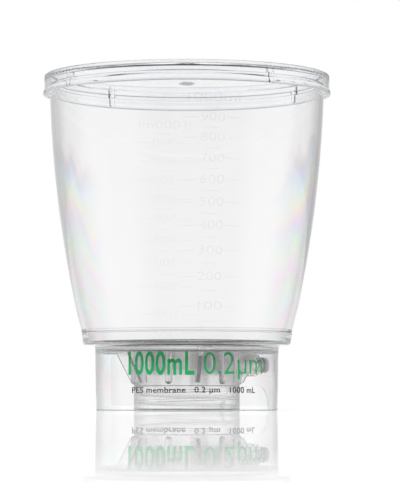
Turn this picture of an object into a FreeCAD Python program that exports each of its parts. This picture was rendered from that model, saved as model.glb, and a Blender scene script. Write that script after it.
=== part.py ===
"""Vacuum filtration unit: a flared one-litre funnel with a lift-off lid, welded to a base that
screws onto a bottle.  Millimetres, +Z up.  The origin is on the axis, in the plane that the skirt
stands on.  Angles are azimuths: 0 points along -Y, the front, and 90 along +X."""

import FreeCAD, Part
import math
import os
import re
import Sketcher

doc = FreeCAD.newDocument("filtration_unit")
sheet = doc.addObject("Spreadsheet::Sheet", "sizes")

# ---- driving dimensions ----------------------------------------------------------------------

SIZES = {
    # membrane, drain grid and the weld between funnel and base
    "membrane_radius": 45.0,
    "membrane_thickness": 0.2,
    "membrane_height": 31.8,        # underside of the membrane above the bench
    "membrane_margin": 2.0,         # edge of the membrane to the wall of the cup
    "ledge_width": 4.1,             # edge of the membrane to the edge of the grid
    "seat_clearance": 0.1,          # parts that drop into one another
    "grid_height": 2.3,
    "grid_web": 0.8,                # the drilled disc, between the grid's feet and its rings
    "grid_foot": 0.8,               # drain gap under the web
    "grid_rib": 0.9,
    "grid_pitch": 7.8,              # from one ring to the next
    "grid_hole": 1.3,               # radius of a drain hole
    "grid_spokes": 9,
    # funnel
    "seam_rise": 5.0,               # shoulder of the funnel above the membrane's underside
    "seam_step": 1.2,               # recessed weld line between funnel and cup
    "seam_inset": 0.5,
    "funnel_wall": 2.0,
    "funnel_height": 151.2,         # top of the rim above the bench
    "flare_angle": 12.0,            # straight part of the wall, from the vertical
    "flare_length": 11.2,           # shoulder to where the straight wall turns into the long curve
    "wall_curve": 570.0,
    # base: cup, flange, plate and skirt
    "cup_wall": 2.0,
    "flange_thickness": 1.8,
    "flange_corner": 1.4,
    "flange_fillet": 1.5,
    "skirt_inset": 6.8,             # the skirt's foot stands this far inside the cup's outer wall
    "skirt_draft": 0.5,             # the skirt is this much wider at its top
    "skirt_wall": 2.2,
    "plate_thickness": 2.1,
    # base: screw collar and spigot
    "thread_radius": 22.75,         # root of the internal bottle thread
    "thread_height": 11.3,
    "thread_chamfer": 0.8,
    "thread_relief": 0.75,          # the smooth bore above the thread is this much tighter
    "collar_wall": 1.85,
    "mouth_gap": 5.7,               # room for the mouth of the bottle, between bore and spigot
    "spigot_wall": 1.5,
    "spigot_depth": 10.7,           # depths are measured down from the underside of the plate
    # base: ribs of the collar and drip tube
    "rib_count": 6,
    "stop_depth": 8.3,              # ribs that the mouth of the bottle meets
    "stop_width": 1.2,
    "stop_clearance": 0.1,
    "gusset_depth": 14.6,
    "gusset_foot": 2.7,             # how far a gusset's foot stands out of the collar
    "gusset_gap": 5.0,              # gusset to skirt, under the plate
    "gusset_width": 1.8,
    "pin_azimuth": -19.2,
    "pin_radius": 1.7,
    "pin_depth": 15.4,
    "drip_offset": 5.8,
    "drip_radius": 4.05,
    "drip_wall": 1.2,
    "drip_depth": 15.6,
    # vacuum port, connector and notch
    "port_azimuth": 130.8,
    "port_depth": 5.4,
    "boss_radius": 5.7,
    "boss_proud": 1.2,
    "socket_radius": 3.3,
    "socket_depth": 10.5,
    "bridge_radius": 2.9,
    "passage_radius": 1.7,
    "barb_radius": 3.7,
    "barb_neck": 2.9,
    "barb_bore": 2.0,
    "barb_collar": 4.6,
    "barb_collar_width": 1.4,
    "barb_reach": 10.1,             # how far the connector stands out of the boss
    "barb_land": 0.5,
    "plug_length": 6.0,
    "plug_inset": 1.0,
    "plug_clearance": 0.05,
    "notch_width": 29.7,
    "notch_height": 11.6,
    "notch_corner": 10.5,
    # bottle seal on the spigot
    "seal_wall": 1.2,
    "seal_height": 8.0,
    "seal_gap": 0.5,                # top of the sleeve to the underside of the plate
    "seal_corner": 0.4,
    # lid
    "lid_clearance": 0.2,           # between the rim of the funnel and the ribs of the lid
    "lid_gap": 0.6,                 # between the wall of the funnel and the ribs' legs
    "lid_skirt_wall": 1.2,
    "lid_skirt_drop": 6.0,          # the skirt hangs this far below the plate
    "lid_bead": 0.5,
    "lid_bead_height": 1.6,
    "lid_rim": 2.0,                 # the rim stands this high above the plate
    "lid_rim_corner": 1.2,
    "lid_plate": 1.3,
    "lid_margin": 19.4,             # skirt to the step round the recessed middle
    "lid_step_run": 2.4,
    "lid_step_drop": 0.8,
    "gate_radius": 3.9,
    "gate_depth": 1.0,
    "vent_rib_azimuth": 35.5,
    "vent_rib_count": 4,
    "vent_rib_width": 2.6,
    "vent_rib_reach": 5.0,
    "vent_rib_depth": 1.1,
    "vent_rib_leg": 1.2,
    "vent_rib_drop": 5.4,
}

for row, (alias, size) in enumerate(SIZES.items(), start=1):
    sheet.set(f"A{row}", alias)
    sheet.set(f"B{row}", str(size))
    sheet.setAlias(f"B{row}", alias)
doc.recompute()


def bound(text):
    """An expression on the sheet: plain names become cells, function names stay as they are."""
    return re.sub(r"\b([a-z]\w*)\b(?!\()", r"sizes.\1", text)


def value(text):
    """What an expression on the sheet comes to at present."""
    return float(sheet.evalExpression(bound(text)))


# Places that several pieces share, as expressions on the sheet.

CUP_BORE = "(membrane_radius + membrane_margin)"
SEAM_RADIUS = f"({CUP_BORE} + cup_wall)"
SEAM = "(membrane_height + seam_rise)"
CUP_RIM = f"({SEAM} - seam_step)"
GRID_RADIUS = "(membrane_radius - ledge_width)"
PLATE_TOP = "(membrane_height - grid_height)"
PLATE_UNDERSIDE = f"({PLATE_TOP} - plate_thickness)"
PLATE_MIDDLE = f"({PLATE_TOP} - plate_thickness / 2)"
SKIRT_FOOT = f"({SEAM_RADIUS} - skirt_inset)"
SKIRT_TOP = f"({SKIRT_FOOT} + skirt_draft)"
COLLAR_RADIUS = "(thread_radius + collar_wall)"
COLLAR_BORE = "(thread_radius - thread_relief)"
SPIGOT_RADIUS = f"({COLLAR_BORE} - mouth_gap)"
SPIGOT_BORE = f"({SPIGOT_RADIUS} - spigot_wall)"
SPIGOT_END = f"({PLATE_UNDERSIDE} - spigot_depth)"
SEAL_RADIUS = f"({SPIGOT_RADIUS} + seal_wall)"
PORT_HEIGHT = f"({PLATE_UNDERSIDE} - port_depth)"
BOSS_END = f"({SKIRT_TOP} + boss_proud)"
SOCKET_FLOOR = f"({BOSS_END} - socket_depth)"

# The long curve of the funnel's wall: where it starts, its centre, and the rim it ends in.
BEND = f"({SEAM} + flare_length)"
BEND_RADIUS = f"({SEAM_RADIUS} + flare_length * tan(flare_angle))"
CURVE_ACROSS = f"({BEND_RADIUS} - wall_curve * cos(flare_angle))"
CURVE_UP = f"({BEND} + wall_curve * sin(flare_angle))"
RIM_START = "(funnel_height - funnel_wall / 2)"
RIM_RADIUS = f"({CURVE_ACROSS} + sqrt(wall_curve ^ 2 - ({RIM_START} - {CURVE_UP}) ^ 2))"

LID_SEAT = "(funnel_height + lid_clearance)"
LID_UNDERSIDE = f"({LID_SEAT} + vent_rib_depth)"
LID_BORE = f"({RIM_RADIUS} + lid_gap + vent_rib_leg)"


# ---- how sketches and features are made ------------------------------------------------------

def new_body(label):
    body = doc.addObject("PartDesign::Body", label)
    body.Label = label
    return body


def new_sketch(body, name, role, azimuth=None):
    """A sketch on one of the body's own planes.  With an azimuth, the upright plane XZ is
    turned about the axis so that the sketch's first direction points along that azimuth."""
    plane = next(item for item in body.Origin.OriginFeatures if item.Role == role)
    sketch = body.newObject("Sketcher::SketchObject", name)
    sketch.AttachmentSupport = [(plane, "")]
    sketch.MapMode = "FlatFace"
    if azimuth is not None:
        turn = FreeCAD.Rotation(FreeCAD.Vector(0, 1, 0), value(azimuth) - 90)
        sketch.AttachmentOffset = FreeCAD.Placement(FreeCAD.Vector(), turn)
        sketch.setExpression("AttachmentOffset.Rotation.Angle", bound(f"{azimuth} - 90"))
    return sketch


def arc_between(start, end, radius):
    """The short arc from start to end; a positive radius runs anticlockwise.
    Says too whether the arc's own first point is the start."""
    chord = end - start
    middle = (start + end) * 0.5
    reach = math.sqrt(max(radius * radius - chord.Length ** 2 / 4, 0.0))
    side = FreeCAD.Vector(-chord.y, chord.x, 0).normalize() * math.copysign(reach, radius)
    centre = middle + side
    first, last = (start, end) if radius > 0 else (end, start)
    angles = [math.atan2(point.y - centre.y, point.x - centre.x) for point in (first, last)]
    if angles[1] < angles[0]:
        angles[1] += 2 * math.pi
    circle = Part.Circle(centre, FreeCAD.Vector(0, 0, 1), abs(radius))
    return Part.ArcOfCircle(circle, *angles), radius > 0


def draw_outline(sketch, corners):
    """A closed outline.  Each corner is (across, up) or (across, up, radius): its place as
    expressions, and the radius of the arc that leaves it where the next edge is not straight."""
    points = [FreeCAD.Vector(value(corner[0]), value(corner[1]), 0) for corner in corners]
    ends = []
    for index, corner in enumerate(corners):
        start, end = points[index], points[(index + 1) % len(points)]
        if len(corner) == 3:
            arc, forward = arc_between(start, end, value(corner[2]))
            edge = sketch.addGeometry(arc)
            ends.append((edge, 1, 2) if forward else (edge, 2, 1))
        else:
            edge = sketch.addGeometry(Part.LineSegment(start, end))
            ends.append((edge, 1, 2))
    for index, corner in enumerate(corners):
        edge, first, last = ends[index]
        following = ends[(index + 1) % len(ends)]
        sketch.addConstraint(Sketcher.Constraint("Coincident", edge, last, following[0], following[1]))
        bind_point(sketch, edge, first, corner)
        if len(corner) == 3:
            radius = sketch.addConstraint(Sketcher.Constraint("Radius", edge, abs(value(corner[2]))))
            sketch.setExpression(f"Constraints[{radius}]", bound(f"abs({corner[2]})"))
    return ends


def bind_point(sketch, edge, vertex, place):
    """Holds a point of the sketch at a place given by two expressions."""
    for kind, text in zip(("DistanceX", "DistanceY"), place):
        held = sketch.addConstraint(Sketcher.Constraint(kind, -1, 1, edge, vertex, value(text)))
        sketch.setExpression(f"Constraints[{held}]", bound(text))


def draw_circle(sketch, across, up, radius):
    centre = FreeCAD.Vector(value(across), value(up), 0)
    edge = sketch.addGeometry(Part.Circle(centre, FreeCAD.Vector(0, 0, 1), value(radius)))
    bind_point(sketch, edge, 3, (across, up))
    held = sketch.addConstraint(Sketcher.Constraint("Radius", edge, value(radius)))
    sketch.setExpression(f"Constraints[{held}]", bound(radius))


def turned(body, name, corners):
    """A solid of revolution about the unit's axis."""
    sketch = new_sketch(body, f"{name}_outline", "XZ_Plane")
    draw_outline(sketch, corners)
    revolution = body.newObject("PartDesign::Revolution", name)
    revolution.Profile = sketch
    revolution.ReferenceAxis = (sketch, ["V_Axis"])
    revolution.Angle = 360
    return revolution


def turned_on_port(body, name, kind, corners):
    """A revolution or groove about the port's axis, which is level and points along its azimuth.
    The corners' second number is the distance from that axis."""
    sketch = new_sketch(body, f"{name}_outline", "XZ_Plane", "port_azimuth")
    sketch.setExpression("AttachmentOffset.Base.y", bound(PORT_HEIGHT))
    draw_outline(sketch, corners)
    feature = body.newObject(f"PartDesign::{kind}", name)
    feature.Profile = sketch
    feature.ReferenceAxis = (sketch, ["H_Axis"])
    feature.Angle = 360
    return feature


def upright_rib(body, name, azimuth, width, corners, count):
    """A radial rib of even thickness, repeated round the axis."""
    sketch = new_sketch(body, f"{name}_outline", "XZ_Plane", azimuth)
    draw_outline(sketch, corners)
    pad = body.newObject("PartDesign::Pad", name)
    pad.Profile = sketch
    pad.Midplane = True
    pad.setExpression("Length", bound(width))
    return repeated(body, pad, count)


def level_circles(body, name, kind, plane_height, height, circles):
    """A pad up or pocket down of circles (across, away, radius) from a level plane."""
    sketch = new_sketch(body, f"{name}_outline", "XY_Plane")
    sketch.setExpression("AttachmentOffset.Base.z", bound(plane_height))
    for circle in circles:
        draw_circle(sketch, *circle)
    feature = body.newObject(f"PartDesign::{kind}", name)
    feature.Profile = sketch
    feature.setExpression("Length", bound(height))
    return feature


def repeated(body, feature, count):
    """The feature, repeated evenly round the unit's axis."""
    doc.recompute()
    pattern = body.newObject("PartDesign::PolarPattern", f"{feature.Name}_pattern")
    pattern.Originals = [feature]
    axis = next(item for item in body.Origin.OriginFeatures if item.Role == "Z_Axis")
    pattern.Axis = (axis, [""])
    pattern.Angle = 360
    pattern.setExpression("Occurrences", bound(count))
    body.Tip = pattern
    doc.recompute()
    return pattern


# ---- funnel ----------------------------------------------------------------------------------

def make_funnel():
    """One clear moulding, welded edge to edge on the rim of the cup: a narrower foot that leaves
    a recessed weld line, a straight flare and then one long curve up to a round rim."""
    body = new_body("funnel")
    foot = f"({SEAM_RADIUS} - seam_inset)"
    turned(body, "funnel_wall_turned", [
        (CUP_BORE, CUP_RIM),
        (foot, CUP_RIM),
        (foot, SEAM),
        (SEAM_RADIUS, SEAM),
        (BEND_RADIUS, BEND, "wall_curve"),
        (RIM_RADIUS, RIM_START, "funnel_wall / 2"),
        (f"{RIM_RADIUS} - funnel_wall / 2", "funnel_height", "funnel_wall / 2"),
        (f"{RIM_RADIUS} - funnel_wall", RIM_START, "funnel_wall - wall_curve"),
        (f"{BEND_RADIUS} - funnel_wall * cos(flare_angle)",
         f"{BEND} + funnel_wall * sin(flare_angle)"),
        (CUP_BORE, SEAM),
    ])
    return body


# ---- membrane and drain grid -----------------------------------------------------------------

def make_membrane():
    """A thin white filter disc, sealed round its edge to the ledge inside the cup."""
    body = new_body("membrane")
    level_circles(body, "membrane_disc", "Pad", "membrane_height", "membrane_thickness",
                  [("0", "0", "membrane_radius")])
    return body


def make_support_grid():
    """A loose drain disc under the membrane: rings above a drilled web, radial feet below it."""
    body = new_body("support_grid")
    web_underside = f"({PLATE_TOP} + grid_foot)"
    web_top = f"({web_underside} + grid_web)"
    ring_count = int(value(f"({GRID_RADIUS} - grid_rib) / grid_pitch"))
    outline = [("0", web_underside), (GRID_RADIUS, web_underside)]
    for ring in range(ring_count):
        outer = f"{GRID_RADIUS} - {ring} * grid_pitch"
        inner = f"{outer} - grid_rib"
        if ring > 0:
            outline.append((outer, web_top))
        outline += [(outer, "membrane_height"), (inner, "membrane_height"), (inner, web_top)]
    outline.append(("0", web_top))
    turned(body, "web_and_rings", outline)
    foot_end = f"{GRID_RADIUS} - grid_rib"
    in_web = f"{web_underside} + grid_web / 4"
    upright_rib(body, "grid_foot_rib", "pin_azimuth", "grid_rib", [
        ("grid_pitch", PLATE_TOP),
        (foot_end, PLATE_TOP),
        (foot_end, in_web),
        ("grid_pitch", in_web),
    ], "grid_spokes")
    first_row = f"({GRID_RADIUS} - grid_rib / 2 - grid_pitch / 2)"
    rows = [(f"{first_row} - {ring} * grid_pitch", "0", "grid_hole") for ring in range(ring_count - 1)]
    holes = level_circles(body, "drain_holes", "Pocket", "membrane_height", "grid_height", rows)
    repeated(body, holes, "grid_spokes")
    return body


# ---- base moulding ---------------------------------------------------------------------------

def make_base_housing():
    """The clear base, moulded in one: cup, flange, floor plate, skirt, bottle collar, spigot,
    drip tube, gussets and vacuum port."""
    body = new_body("base_housing")
    flange_underside = "(membrane_height - flange_thickness)"
    corner_top = f"({flange_underside} + flange_corner)"
    cup_foot = f"({SEAM_RADIUS} - tan(flare_angle) * ({CUP_RIM} - {corner_top}))"
    grid_recess = f"({GRID_RADIUS} + seat_clearance)"
    turned(body, "base_turned", [
        ("0", PLATE_UNDERSIDE),
        (SPIGOT_BORE, PLATE_UNDERSIDE),
        (SPIGOT_BORE, SPIGOT_END),
        (SPIGOT_RADIUS, SPIGOT_END),
        (SPIGOT_RADIUS, PLATE_UNDERSIDE),
        (COLLAR_BORE, PLATE_UNDERSIDE),
        (COLLAR_BORE, "thread_height"),
        ("thread_radius", "thread_height"),
        ("thread_radius", "thread_chamfer"),
        ("thread_radius + thread_chamfer", "0"),
        (COLLAR_RADIUS, "0"),
        (COLLAR_RADIUS, PLATE_UNDERSIDE),
        (f"{SKIRT_TOP} - skirt_wall", PLATE_UNDERSIDE),
        (f"{SKIRT_FOOT} - skirt_wall", "0"),
        (SKIRT_FOOT, "0"),
        (SKIRT_TOP, f"{flange_underside} - flange_fillet", "-flange_fillet"),
        (f"{SKIRT_TOP} + flange_fillet", flange_underside),
        (f"{cup_foot} - flange_corner", flange_underside, "flange_corner"),
        (cup_foot, corner_top),
        (SEAM_RADIUS, CUP_RIM),
        (CUP_BORE, CUP_RIM),
        (CUP_BORE, "membrane_height"),
        (grid_recess, "membrane_height"),
        (grid_recess, PLATE_TOP),
        ("0", PLATE_TOP),
    ])
    add_collar_ribs(body)
    add_vacuum_port(body)
    add_drip_tube(body)
    cut_notch(body)
    return body


def add_collar_ribs(body):
    """Sloping gussets and round-ended pins outside the collar, and stops for the bottle inside."""
    in_collar = f"({COLLAR_RADIUS} - collar_wall / 2)"
    gusset_end = f"({SKIRT_TOP} - skirt_wall - gusset_gap)"
    gusset_bottom = f"({PLATE_UNDERSIDE} - gusset_depth)"
    upright_rib(body, "gusset", "port_azimuth", "gusset_width", [
        (in_collar, gusset_bottom),
        (f"{COLLAR_RADIUS} + gusset_foot", gusset_bottom),
        (gusset_end, PLATE_UNDERSIDE),
        (gusset_end, PLATE_MIDDLE),
        (in_collar, PLATE_MIDDLE),
    ], "rib_count")
    stop_start = f"({SEAL_RADIUS} + stop_clearance)"
    stop_bottom = f"({PLATE_UNDERSIDE} - stop_depth)"
    in_bore_wall = f"({COLLAR_BORE} + collar_wall / 2)"
    upright_rib(body, "bottle_stop", "pin_azimuth", "stop_width", [
        (stop_start, stop_bottom),
        (in_bore_wall, stop_bottom),
        (in_bore_wall, PLATE_MIDDLE),
        (stop_start, PLATE_MIDDLE),
    ], "rib_count")
    pin = new_sketch(body, "pin_outline", "XZ_Plane", "pin_azimuth")
    pin.setExpression("AttachmentOffset.Base.x", bound(f"{COLLAR_RADIUS} * sin(pin_azimuth)"))
    pin.setExpression("AttachmentOffset.Base.z", bound(f"{COLLAR_RADIUS} * cos(pin_azimuth)"))
    pin_bottom = f"({PLATE_UNDERSIDE} - pin_depth)"
    draw_outline(pin, [
        ("0", pin_bottom, "pin_radius"),
        ("pin_radius", f"{pin_bottom} + pin_radius"),
        ("pin_radius", PLATE_MIDDLE),
        ("0", PLATE_MIDDLE),
    ])
    post = body.newObject("PartDesign::Revolution", "pin")
    post.Profile = pin
    post.ReferenceAxis = (pin, ["V_Axis"])
    post.Angle = 360
    repeated(body, post, "rib_count")
    clear_bore(body, stop_bottom)


def clear_bore(body, stop_bottom):
    """The pins stand half in the collar's wall, so its bore is cut clear of them again."""
    sketch = new_sketch(body, "bore_outline", "XZ_Plane")
    draw_outline(sketch, [
        (SEAL_RADIUS, "0"),
        ("thread_radius", "0"),
        ("thread_radius", "thread_height"),
        (COLLAR_BORE, "thread_height"),
        (COLLAR_BORE, stop_bottom),
        (SEAL_RADIUS, stop_bottom),
    ])
    groove = body.newObject("PartDesign::Groove", "bore")
    groove.Profile = sketch
    groove.ReferenceAxis = (sketch, ["V_Axis"])
    groove.Angle = 360


def add_vacuum_port(body):
    """A level boss from the collar out through the skirt, and a narrow tube that carries its
    passage across to the inside of the spigot."""
    in_spigot = f"({SPIGOT_BORE} + spigot_wall / 2)"
    boss_start = f"({COLLAR_RADIUS} - collar_wall / 2)"
    turned_on_port(body, "port_boss", "Revolution", [
        (in_spigot, "0"),
        (BOSS_END, "0"),
        (BOSS_END, "boss_radius"),
        (boss_start, "boss_radius"),
        (boss_start, "bridge_radius"),
        (in_spigot, "bridge_radius"),
    ])
    turned_on_port(body, "port_bore", "Groove", [
        (f"{SPIGOT_BORE} - spigot_wall", "0"),
        (f"{BOSS_END} + boss_proud", "0"),
        (f"{BOSS_END} + boss_proud", "socket_radius"),
        (SOCKET_FLOOR, "socket_radius"),
        (SOCKET_FLOOR, "passage_radius"),
        (f"{SPIGOT_BORE} - spigot_wall", "passage_radius"),
    ])


def add_drip_tube(body):
    """The filtrate leaves the plate through a short tube beside the axis."""
    drip_end = f"({PLATE_UNDERSIDE} - drip_depth)"
    level_circles(body, "drip_tube", "Pad", drip_end, f"{PLATE_MIDDLE} - {drip_end}",
                  [("drip_offset", "0", "drip_radius")])
    level_circles(body, "drip_bore", "Pocket", PLATE_TOP, f"{PLATE_TOP} - {drip_end} + drip_wall",
                  [("drip_offset", "0", "drip_radius - drip_wall")])


def cut_notch(body):
    """An arched notch in the foot of the skirt under the port."""
    sketch = new_sketch(body, "notch_outline", "YZ_Plane", "port_azimuth")
    start = f"({SKIRT_FOOT} - 2 * skirt_wall)"
    sketch.setExpression("AttachmentOffset.Base.x", bound(f"{start} * sin(port_azimuth - 90)"))
    sketch.setExpression("AttachmentOffset.Base.z", bound(f"{start} * cos(port_azimuth - 90)"))
    half = "notch_width / 2"
    below = "-skirt_wall"
    draw_outline(sketch, [
        (f"-({half})", below),
        (half, below),
        (half, "notch_height - notch_corner", "notch_corner"),
        (f"{half} - notch_corner", "notch_height"),
        (f"notch_corner - {half}", "notch_height", "notch_corner"),
        (f"-({half})", "notch_height - notch_corner"),
    ])
    notch = body.newObject("PartDesign::Pocket", "notch")
    notch.Profile = sketch
    notch.Reversed = True
    notch.setExpression("Length", bound("4 * skirt_wall"))
    body.Tip = notch


# ---- pieces on the base ----------------------------------------------------------------------

def make_neck_seal():
    """A soft sleeve on the spigot, which seals in the mouth of the bottle.  The tube that carries
    the port's passage goes through a hole in it."""
    body = new_body("neck_seal")
    top = f"({PLATE_UNDERSIDE} - seal_gap)"
    bottom = f"({top} - seal_height)"
    turned(body, "seal_turned", [
        (SPIGOT_RADIUS, bottom),
        (f"{SEAL_RADIUS} - seal_corner", bottom, "seal_corner"),
        (SEAL_RADIUS, f"{bottom} + seal_corner"),
        (SEAL_RADIUS, f"{top} - seal_corner", "seal_corner"),
        (f"{SEAL_RADIUS} - seal_corner", top),
        (SPIGOT_RADIUS, top),
    ])
    hole = "bridge_radius + seat_clearance"
    turned_on_port(body, "tube_hole", "Groove", [
        (SPIGOT_BORE, "0"),
        (f"{SEAL_RADIUS} + seal_wall", "0"),
        (f"{SEAL_RADIUS} + seal_wall", hole),
        (SPIGOT_BORE, hole),
    ])
    return body


def make_hose_barb():
    """A natural plastic hose connector with two barbs, pushed into the boss up to its collar."""
    body = new_body("hose_barb")
    shank_end = f"({SOCKET_FLOOR} + seat_clearance)"
    shank = "(socket_radius - plug_clearance)"
    collar = f"({BOSS_END} + barb_collar_width)"
    first_barb = f"({collar} + barb_land)"
    tip = f"({BOSS_END} + barb_reach)"
    second_barb = f"(({first_barb} + {tip}) / 2)"
    turned_on_port(body, "barb_turned", "Revolution", [
        (shank_end, "barb_bore"),
        (tip, "barb_bore"),
        (tip, "barb_neck - barb_land / 2"),
        (f"{second_barb} + barb_land", "barb_radius"),
        (second_barb, "barb_radius"),
        (second_barb, "barb_neck"),
        (f"{first_barb} + barb_land", "barb_radius"),
        (first_barb, "barb_radius"),
        (first_barb, "barb_neck"),
        (collar, "barb_neck"),
        (collar, "barb_collar"),
        (BOSS_END, "barb_collar"),
        (BOSS_END, shank),
        (f"{shank_end} + barb_land", shank),
        (shank_end, f"{shank} - barb_land"),
    ])
    return body


def make_port_plug():
    """A grey porous plug inside the connector, which keeps liquid out of the vacuum line."""
    body = new_body("port_plug")
    end = f"({BOSS_END} + barb_reach - plug_inset)"
    turned_on_port(body, "plug_turned", "Revolution", [
        (f"{end} - plug_length", "0"),
        (end, "0"),
        (end, "barb_bore - plug_clearance"),
        (f"{end} - plug_length", "barb_bore - plug_clearance"),
    ])
    return body


# ---- lid -------------------------------------------------------------------------------------

def make_lid():
    """A loose clear lid: a plate with a recessed middle, a rim that stands above and below it,
    and four L-shaped ribs that rest on the funnel and leave the air a way in."""
    body = new_body("lid")
    outside = f"({LID_BORE} + lid_skirt_wall)"
    bead = f"({outside} + lid_bead)"
    bottom = f"({LID_UNDERSIDE} - lid_skirt_drop)"
    plate_top = f"({LID_UNDERSIDE} + lid_plate)"
    top = f"({plate_top} + lid_rim)"
    step_outer = f"({LID_BORE} - lid_margin)"
    step_inner = f"({step_outer} - lid_step_run)"
    low = f"({LID_UNDERSIDE} - lid_step_drop)"
    low_top = f"({plate_top} - lid_step_drop)"
    gate_curve = "((gate_radius ^ 2 + gate_depth ^ 2) / (2 * gate_depth))"
    turned(body, "lid_turned", [
        ("0", f"{low} - gate_depth", gate_curve),
        ("gate_radius", low),
        (step_inner, low),
        (step_outer, LID_UNDERSIDE),
        (LID_BORE, LID_UNDERSIDE),
        (LID_BORE, f"{bottom} + lid_bead"),
        (f"{LID_BORE} + lid_bead", bottom),
        (f"{bead} - lid_bead", bottom, "lid_bead"),
        (bead, f"{bottom} + lid_bead"),
        (bead, f"{bottom} + lid_bead_height"),
        (outside, f"{bottom} + lid_bead_height + lid_bead"),
        (outside, f"{top} - lid_rim_corner", "lid_rim_corner"),
        (f"{outside} - lid_rim_corner", top),
        (f"{LID_BORE} - lid_rim_corner", top),
        (f"{LID_BORE} - lid_rim_corner - lid_bead", plate_top),
        (step_outer, plate_top),
        (step_inner, low_top),
        ("gate_radius", low_top, f"-{gate_curve}"),
        ("0", f"{low_top} - gate_depth"),
    ])
    in_skirt = f"({LID_BORE} + lid_skirt_wall / 2)"
    in_plate = f"({LID_UNDERSIDE} + lid_plate / 2)"
    reach = f"({LID_BORE} - vent_rib_reach)"
    upright_rib(body, "vent_rib", "vent_rib_azimuth", "vent_rib_width", [
        (reach, LID_SEAT),
        (in_skirt, LID_SEAT),
        (in_skirt, in_plate),
        (reach, in_plate),
    ], "vent_rib_count")
    add_vent_legs(body, in_plate)
    return body


def add_vent_legs(body, top):
    """The legs of the vent ribs, round at the foot, that run down inside the lid's skirt."""
    sketch = new_sketch(body, "vent_leg_outline", "YZ_Plane", "vent_rib_azimuth")
    start = f"({LID_BORE} - vent_rib_leg)"
    sketch.setExpression("AttachmentOffset.Base.x", bound(f"{start} * sin(vent_rib_azimuth - 90)"))
    sketch.setExpression("AttachmentOffset.Base.z", bound(f"{start} * cos(vent_rib_azimuth - 90)"))
    half = "vent_rib_width / 2"
    foot = f"{LID_UNDERSIDE} - vent_rib_drop"
    draw_outline(sketch, [
        (half, top),
        (f"-{half}", top),
        (f"-{half}", f"{foot} + {half}", half),
        ("0", foot, half),
        (half, f"{foot} + {half}"),
    ])
    leg = body.newObject("PartDesign::Pad", "vent_leg")
    leg.Profile = sketch
    leg.setExpression("Length", bound("vent_rib_leg + lid_skirt_wall / 2"))
    repeated(body, leg, "vent_rib_count")


# ---- build, check and write ------------------------------------------------------------------

pieces = [
    make_base_housing(),
    make_neck_seal(),
    make_hose_barb(),
    make_port_plug(),
    make_support_grid(),
    make_membrane(),
    make_funnel(),
    make_lid(),
]
doc.recompute()

faults = [f"{item.Label}: {item.State}" for item in doc.Objects
          if "Invalid" in item.State or "Error" in item.State]
faults += [f"{piece.Label}: bad shape" for piece in pieces
           if piece.Shape.isNull() or not piece.Shape.isValid() or len(piece.Shape.Solids) != 1]
if faults:
    raise RuntimeError("; ".join(faults))

os.makedirs("parts", exist_ok=True)
for piece in pieces:
    piece.Shape.exportStep(f"parts/{piece.Label}.step")
    box = piece.Shape.BoundBox
    print(f"{piece.Label:14s} {piece.Shape.Volume / 1000:8.2f} cm3   z {box.ZMin:7.2f} to {box.ZMax:7.2f}"
          f"   radius {max(box.XMax, box.YMax, -box.XMin, -box.YMin):6.2f}")
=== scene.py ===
import math

import bpy
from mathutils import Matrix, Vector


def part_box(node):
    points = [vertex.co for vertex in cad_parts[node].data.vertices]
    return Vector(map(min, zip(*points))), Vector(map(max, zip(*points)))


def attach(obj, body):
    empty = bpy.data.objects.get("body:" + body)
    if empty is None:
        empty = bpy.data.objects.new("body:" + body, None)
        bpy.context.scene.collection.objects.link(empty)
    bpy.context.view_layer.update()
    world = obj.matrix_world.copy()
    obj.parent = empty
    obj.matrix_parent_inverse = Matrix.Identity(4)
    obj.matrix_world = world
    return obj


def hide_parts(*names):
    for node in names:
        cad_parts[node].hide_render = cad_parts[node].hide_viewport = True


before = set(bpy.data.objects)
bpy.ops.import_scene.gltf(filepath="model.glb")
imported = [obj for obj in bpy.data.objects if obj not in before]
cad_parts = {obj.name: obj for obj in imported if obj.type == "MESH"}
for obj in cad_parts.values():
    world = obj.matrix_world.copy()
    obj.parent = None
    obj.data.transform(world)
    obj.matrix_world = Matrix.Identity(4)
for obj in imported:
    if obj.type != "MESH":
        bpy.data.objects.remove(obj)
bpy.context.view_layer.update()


# ---- camera ----------------------------------------------------------------------------------
# A long lens almost level with the bench, tilted up a little, so that the lid is seen from
# below.  The unit stands slightly left of the middle of the frame.

CAMERA_DISTANCE = 1.286
CAMERA_HEIGHT = 0.0025
aim = (0.0061, 0.0, 0.0745)
bpy.ops.object.select_all(action="DESELECT")
tilt = math.atan((aim[2] - CAMERA_HEIGHT) / CAMERA_DISTANCE)
bpy.ops.object.camera_add(
    location=(aim[0], -CAMERA_DISTANCE, CAMERA_HEIGHT),
    rotation=(math.radians(90) + tilt, 0, 0),
)
camera = bpy.context.object
camera.data.lens = 199
camera.data.sensor_width = 36
camera.data.clip_start = 0.02
camera.data.clip_end = 50
scene = bpy.context.scene
scene.camera = camera
scene.view_settings.view_transform = "Standard"
scene.cycles.max_bounces = 96
scene.cycles.transmission_bounces = 96
scene.cycles.glossy_bounces = 32
scene.cycles.transparent_max_bounces = 16


# ---- surroundings ----------------------------------------------------------------------------
# A plain white tent: white where the camera looks, and for the object a dimmer tent with four
# brighter panels, in front, behind and at the sides.  Its top is dark, so that clear walls get
# their outlines, but matte things inside the unit are lit as in an open room.

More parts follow.
